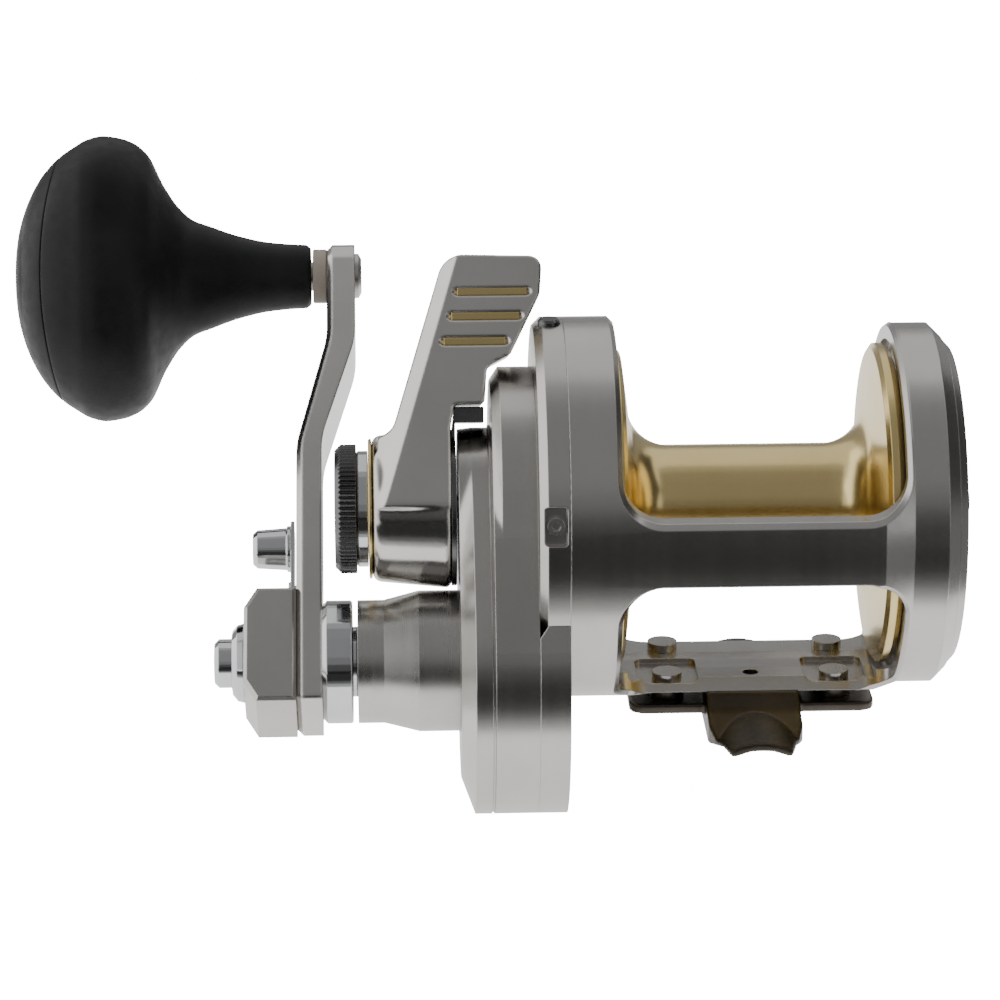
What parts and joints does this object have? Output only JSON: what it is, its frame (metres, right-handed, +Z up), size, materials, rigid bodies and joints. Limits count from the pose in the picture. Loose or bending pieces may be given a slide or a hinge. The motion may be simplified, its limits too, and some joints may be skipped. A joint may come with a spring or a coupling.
{
  "type": "trolling reel",
  "caption": "Two-speed lever-drag trolling reel with a geared crank handle, T-shaped grip, open-top frame, gold spool and a clamp-on reel foot.",
  "frame": {"origin": "on the rod axis, centred under the reel foot", "axes": "+X along the spool axis away from the handle, -Y towards the rod tip, +Z up from the rod to the reel"},
  "size_m": [0.1917, 0.1222, 0.1217],
  "materials": {
    "satin_silver": "satin anodised",
    "dark_bronze": "dark anodised, satin",
    "gold": "gold anodised, satin",
    "chrome": "polished",
    "polished": "polished aluminium",
    "steel": "brushed",
    "black_rubber": "soft matte",
    "black_metal": "satin black",
    "brass": "machined",
    "carbon": "woven carbon",
    "bushing": "matte grey-beige"
  },
  "bodies": {
    "reel_frame": {"frame": "satin_silver", "side_plate": "satin_silver", "gear_housing": "satin_silver", "gear_cover": "satin_silver", "end_cover": "satin_silver", "collar": "steel", "reel_foot": "dark_bronze", "foot_spacers": "dark_bronze", "foot_screws": "steel", "cover_screws": "steel", "cover_gasket": "steel", "outer_shaft_bearing": "steel", "inner_shaft_bearing": "steel", "pinion_bearing": "steel", "shaft_bushing": "brass", "end_bushing": "brass", "pawl_pin": "steel", "strike_spring": "steel", "stop_screw": "steel", "cam_follower": "steel", "pawl_spring": "steel"},
    "crank": {"crank_arm": "polished", "hub_block": "satin_silver", "hub_cap": "chrome", "thrust_ring": "chrome", "crank_shaft": "steel", "high_gear": "brass", "reverse_ratchet": "steel", "grip_pin": "steel", "grip_bushing": "bushing", "shift_spring": "steel", "release_rivet": "steel"},
    "handle_grip": {"grip": "black_rubber", "grip_cap": "black_rubber", "grip_bearing_out": "steel", "grip_bearing_in": "steel"},
    "shift_rod": {"shift_button": "chrome"},
    "shift_release": {"release_plate": "chrome", "release_knob": "chrome"},
    "low_speed_gear": {"low_gear": "brass"},
    "pinion_set": {"drag_plate": "steel", "high_pinion": "steel", "low_pinion": "steel"},
    "spool_set": {"spool": "gold", "spool_bearing_l": "steel", "spool_bearing_r": "steel", "drag_washer": "carbon", "click_ratchet": "brass"},
    "sliding_shaft": {"spool_shaft": "steel"},
    "lever": {"drag_lever": "polished", "lever_inlays": "gold", "drag_cam": "black_metal", "gold_ring": "gold"},
    "preset": {"preset_neck": "chrome", "preset_knob": "black_metal"},
    "strike_stop": {"strike_button": "black_metal"},
    "clicker": {"click_button": "black_metal", "click_pawl": "steel"},
    "pawl": {"reverse_pawl": "steel"}
  },
  "joints": [
    {"name": "crank_turn", "type": "hinge", "parent": "reel_frame", "child": "crank", "pos_m": [-0.07, -0.00943, 0.02197], "axis": [1, 0, 0], "continuous": true},
    {"name": "grip_spin", "type": "hinge", "parent": "crank", "child": "handle_grip", "pos_m": [-0.11, 0.05894, 0.08353], "axis": [1, 0, 0], "continuous": true},
    {"name": "shift_press", "type": "slide", "parent": "crank", "child": "shift_rod", "axis": [1, 0, 0], "range_m": [0, 0.003], "stiffness_N_per_m": 150, "springref_m": -0.002, "deforming": ["shift_spring"]},
    {"name": "release_swing", "type": "hinge", "parent": "crank", "child": "shift_release", "pos_m": [-0.0916, 0.00283, 0.03301], "axis": [1, 0, 0], "range_deg": [0, 12], "stiffness_Nm_per_rad": 0.02, "springref_deg": -5.73},
    {"name": "low_gear_turn", "type": "hinge", "parent": "reel_frame", "child": "low_speed_gear", "pos_m": [-0.048, -0.00943, 0.02197], "axis": [1, 0, 0], "continuous": true},
    {"name": "pinion_turn", "type": "hinge", "parent": "reel_frame", "child": "pinion_set", "pos_m": [-0.05, 0, 0.051], "axis": [1, 0, 0], "continuous": true},
    {"name": "shaft_slide", "type": "slide", "parent": "reel_frame", "child": "sliding_shaft", "axis": [1, 0, 0], "range_m": [-0.000479, 0.000479]},
    {"name": "spool_turn", "type": "hinge", "parent": "sliding_shaft", "child": "spool_set", "pos_m": [0, 0, 0.051], "axis": [1, 0, 0], "continuous": true},
    {"name": "lever_swing", "type": "hinge", "parent": "reel_frame", "child": "lever", "pos_m": [-0.067, 0, 0.051], "axis": [1, 0, 0], "range_deg": [-38, 60]},
    {"name": "preset_turn", "type": "hinge", "parent": "lever", "child": "preset", "pos_m": [-0.08, 0, 0.051], "axis": [1, 0, 0], "continuous": true},
    {"name": "strike_press", "type": "slide", "parent": "reel_frame", "child": "strike_stop", "axis": [0, 0, -1], "range_m": [0, 0.001], "stiffness_N_per_m": 150, "springref_m": -0.002, "deforming": ["strike_spring"]},
    {"name": "click_slide", "type": "slide", "parent": "reel_frame", "child": "clicker", "axis": [0, 0, 1], "range_m": [0, 0.005]},
    {"name": "pawl_rock", "type": "hinge", "parent": "reel_frame", "child": "pawl", "pos_m": [-0.0459, 0.00647, 0.03207], "axis": [1, 0, 0], "range_deg": [-8, 0], "stiffness_Nm_per_rad": 0.002, "springref_deg": 11.46}
  ],
  "couplings": [
    {"joint": "pinion_turn", "follows": "crank_turn", "ratio": -5.7273},
    {"joint": "low_gear_turn", "follows": "crank_turn", "ratio": 1.8409},
    {"joint": "spool_turn", "follows": "crank_turn", "ratio": -5.7273},
    {"joint": "shaft_slide", "follows": "lever_swing", "m_per_rad": -0.00045}
  ]
}
